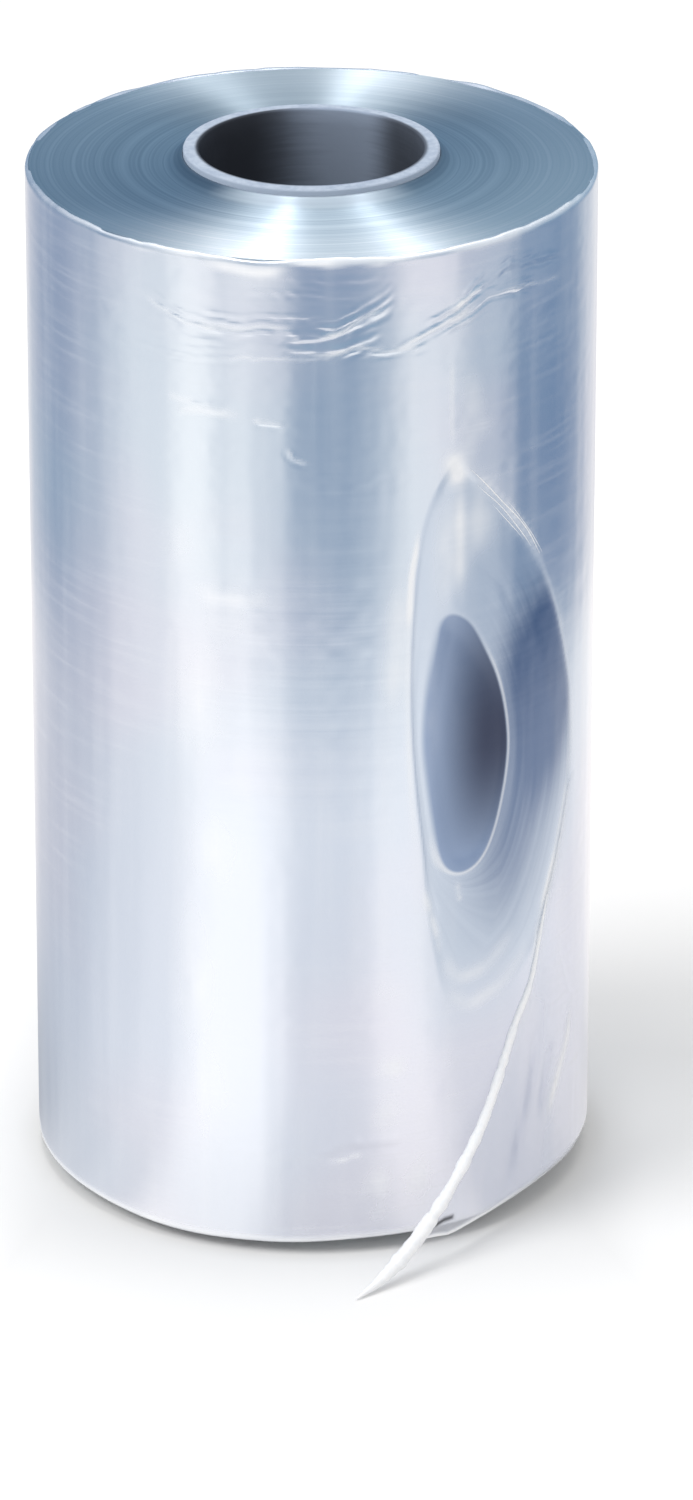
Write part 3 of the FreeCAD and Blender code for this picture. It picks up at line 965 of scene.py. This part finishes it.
# Painted shadow in the slot.
colour = mark("slot_shadow").tint(colour, (0.07, 0.075, 0.09))
bumped = wire.node("ShaderNodeBump", {}, {"Strength": 0.3, "Distance": 0.0004, "Height": ripple})
surface = wire.node(
    "ShaderNodeBsdfPrincipled",
    {},
    {
        "Base Color": colour,
        "Metallic": 0.35 * (1 - curl_and_highlight),
        "Alpha": mark("merged") * 0.3 + curl_and_highlight * 0.7 + fold_shade * 0.2 + mark("slot_shadow") * 0.7,
        "Roughness": 0.3,
        "Coat Weight": 0.3,
        "Coat Roughness": 0.08,
        "Normal": bumped,
    },
)
wire.node("ShaderNodeOutputMaterial", {}, {"Surface": surface})


def thick_sheet(name, points, quads, thickness, material):
    """A thin closed sheet from one surface, which stays its outer face."""
    sheet = new_piece(name + "_face", (points.reshape(-1, 3) * MM).tolist(), quads.tolist(), material)
    change = sheet.modifiers.new("thickness", "SOLIDIFY")
    change.thickness = thickness * MM
    change.offset = -1
    return sheet


def settled(sheet, name):
    """The sheet with its thickness made real."""
    seen_by = bpy.context.evaluated_depsgraph_get()
    whole = bpy.data.meshes.new_from_object(sheet.evaluated_get(seen_by))
    whole.name = name
    bpy.data.objects.remove(sheet)
    made = bpy.data.objects.new(name, whole)
    bpy.context.scene.collection.objects.link(made)
    return made


flap = thick_sheet("loose_end", flap_points, flap_quads, 0.15, flap_film)
# A painted shadow: a dark slot where the shade under the roll shows between the cord and the flap.
slot_gap, _, _ = line_distance(P, H, np.array([(39.5, 12.6), (43.5, 13.2), (48.0, 12.8)]))
slot_shadow = np.exp(-((slot_gap / 1.0) ** 2))
# White where the film is rolled up, at the tip and along the torn edge, and painted highlights along the
# rising fold and the flap's foot.
curled_and_highlit = np.maximum(step(50, 60, P), fold_highlight)
curled_and_highlit = np.maximum(curled_and_highlit, np.exp(-(((H - feet[:, None]) / 1.3) ** 4))) * (1 - slot_shadow)
band = 0.6 * np.exp(-((to_edge / 9) ** 2)) * step(-34, -20, P) * step(14, -2, P)
curled_and_highlit = np.maximum(curled_and_highlit, band)
merged = step(-46, -6, P) * step(105, 75, H)
marks = {"curl_and_highlight": curled_and_highlit, "fold_shade": 0.55 * painted_fold_shade, "slot_shadow": slot_shadow, "merged": merged}
for name, values in marks.items():
    data = flap.data.attributes.new(name, "FLOAT", "POINT")
    data.data.foreach_set("value", values.ravel().astype(np.float32))
flap = settled(flap, "loose_end")
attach(flap, "root")


# Torn edge. Where the outer turn tore, its edge has rolled up on itself into a white cord of
# film, thick on the loose end and thin as a hair up the window's side, with a few loose strands.
def swept_tree():
    """Sweeps a small ring along each line that the object holds, as thick as its points say."""
    tree = bpy.data.node_groups.new("rolled_up", "GeometryNodeTree")
    tree.interface.new_socket("Lines", in_out="INPUT", socket_type="NodeSocketGeometry")
    tree.interface.new_socket("Sides", in_out="INPUT", socket_type="NodeSocketInt")
    tree.interface.new_socket("Roughness of edge", in_out="INPUT", socket_type="NodeSocketFloat")
    tree.interface.new_socket("Material", in_out="INPUT", socket_type="NodeSocketMaterial")
    tree.interface.new_socket("Piece", in_out="OUTPUT", socket_type="NodeSocketGeometry")
    wire = Wire(tree)
    given = wire.node("NodeGroupInput", out="Lines")
    lines = wire.node("GeometryNodeMeshToCurve", {}, {"Mesh": given})
    place = wire.node("GeometryNodeInputPosition")
    stir = wire.node("ShaderNodeTexNoise", {}, {"Vector": place, "Scale": 260.0, "Detail": 1.0})
    thick = wire.node("GeometryNodeInputNamedAttribute", {"data_type": "FLOAT"}, {"Name": "thick"})
    varied = thick * (1 + (stir - 0.5) * given.other("Roughness of edge"))
    ring = wire.node(
        "GeometryNodeCurvePrimitiveCircle", {}, {"Resolution": given.other("Sides"), "Radius": 1.0}
    )
    swept = wire.node(
        "GeometryNodeCurveToMesh",
        {},
        {"Curve": lines, "Profile Curve": ring, "Scale": varied, "Fill Caps": True},
        out="Mesh",
    )
    whole = wire.node("GeometryNodeRealizeInstances", {}, {"Geometry": swept})
    done = wire.node(
        "GeometryNodeSetMaterial", {}, {"Geometry": whole, "Material": given.other("Material")}
    )
    wire.node("NodeGroupOutput", {}, {"Piece": done})
    return tree


rolled_up = swept_tree()


def rolled(name, lines, sides, rough_edge, material):
    """A piece swept along lines, each a list of (point, radius) in millimetres."""
    points, edges, thick = [], [], []
    for line in lines:
        first = len(points)
        points += [tuple(c * MM for c in point) for point, _ in line]
        thick += [radius * MM for _, radius in line]
        edges += [(first + i, first + i + 1) for i in range(len(line) - 1)]
    mesh = bpy.data.meshes.new(name + "_lines")
    mesh.from_pydata(points, edges, [])
    data = mesh.attributes.new("thick", "FLOAT", "POINT")
    data.data.foreach_set("value", thick)
    holder = bpy.data.objects.new(name + "_lines", mesh)
    bpy.context.scene.collection.objects.link(holder)
    change = holder.modifiers.new("rolled", "NODES")
    change.node_group = rolled_up
    names = {s.name: s.identifier for s in rolled_up.interface.items_tree if s.in_out == "INPUT"}
    change[names["Sides"]] = sides
    change[names["Roughness of edge"]] = rough_edge
    change[names["Material"]] = material
    return settled(holder, name)


white_film, wire = new_material("rolled_film")
place = wire.node("ShaderNodeTexCoord", out="Object")
grain = wire.node("ShaderNodeTexNoise", {}, {"Vector": place, "Scale": 500.0, "Detail": 3.0})
colour = grain.ramp(0.3, 0.7).tint((0.92, 0.935, 0.96), (0.98, 0.98, 0.985))
bumped = wire.node("ShaderNodeBump", {}, {"Strength": 0.3, "Distance": 0.0002, "Height": grain})
surface = wire.node(
    "ShaderNodeBsdfPrincipled",
    {},
    {"Base Color": colour, "Roughness": 0.35, "Coat Weight": 0.3, "Coat Roughness": 0.1, "Normal": bumped},
)
wire.node("ShaderNodeOutputMaterial", {}, {"Surface": surface})


def on_skin(u, z, lift):
    """The place on the roll itself, from its unrolled surface in millimetres."""
    out = RADIUS + lift
    return (out * math.sin(u / RADIUS), -out * math.cos(u / RADIUS), z)


edge_line = smooth_line(list(reversed(FREE_EDGE[5:])), 10)
CORD_AT = [-12, -8, -3, 2, 10, 26, 44, 55, 66, 76, 84, 90]
CORD_RADIUS = [0.15, 0.55, 0.9, 1.15, 1.45, 1.85, 2.1, 2.6, 2.9, 2.2, 1.2, 0.25]
thickness = np.interp(edge_line[:, 0], CORD_AT, CORD_RADIUS)
main = []
for (past, z), radius in zip(edge_line, thickness):
    main.append((off_roll(past, max(z, radius + 0.2), 0.3 + radius * 0.3), radius))
strands = [main]
upper = smooth_line([on_roll(a, z) for a, z in WINDOW[:6]], 10)
# each loose strand: how far it strays from the edge, its first and last point, and its radius
STRANDS = [(0.2, 4, 48, 0.22), (-1.9, 10, 44, 0.16), (-3.4, 20, 40, 0.13), (1.2, 24, 49, 0.13)]
for shift, first, last, wide in STRANDS:
    strand = []
    for i, (u, z) in enumerate(upper[first:last]):
        wave = 0.3 * math.sin(i / 4 + shift)
        taper = min(1, (i + 1) / 8, (last - first - i) / 8)
        strand.append((on_skin(u + shift * 0.8, z + shift * 0.5 + wave, 0.1), wide * taper))
    strands.append(strand)
torn = rolled("torn_edge", strands, 10, 0.8, white_film)
torn.data.polygons.foreach_set("use_smooth", [True] * len(torn.data.polygons))
for thin_film in (flap, torn):
    thin_film.visible_glossy = False
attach(torn, "root")


seen_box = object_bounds()
sizes = {"cad": [list(corner) for corner in cad_box], "visual": [list(corner) for corner in seen_box]}
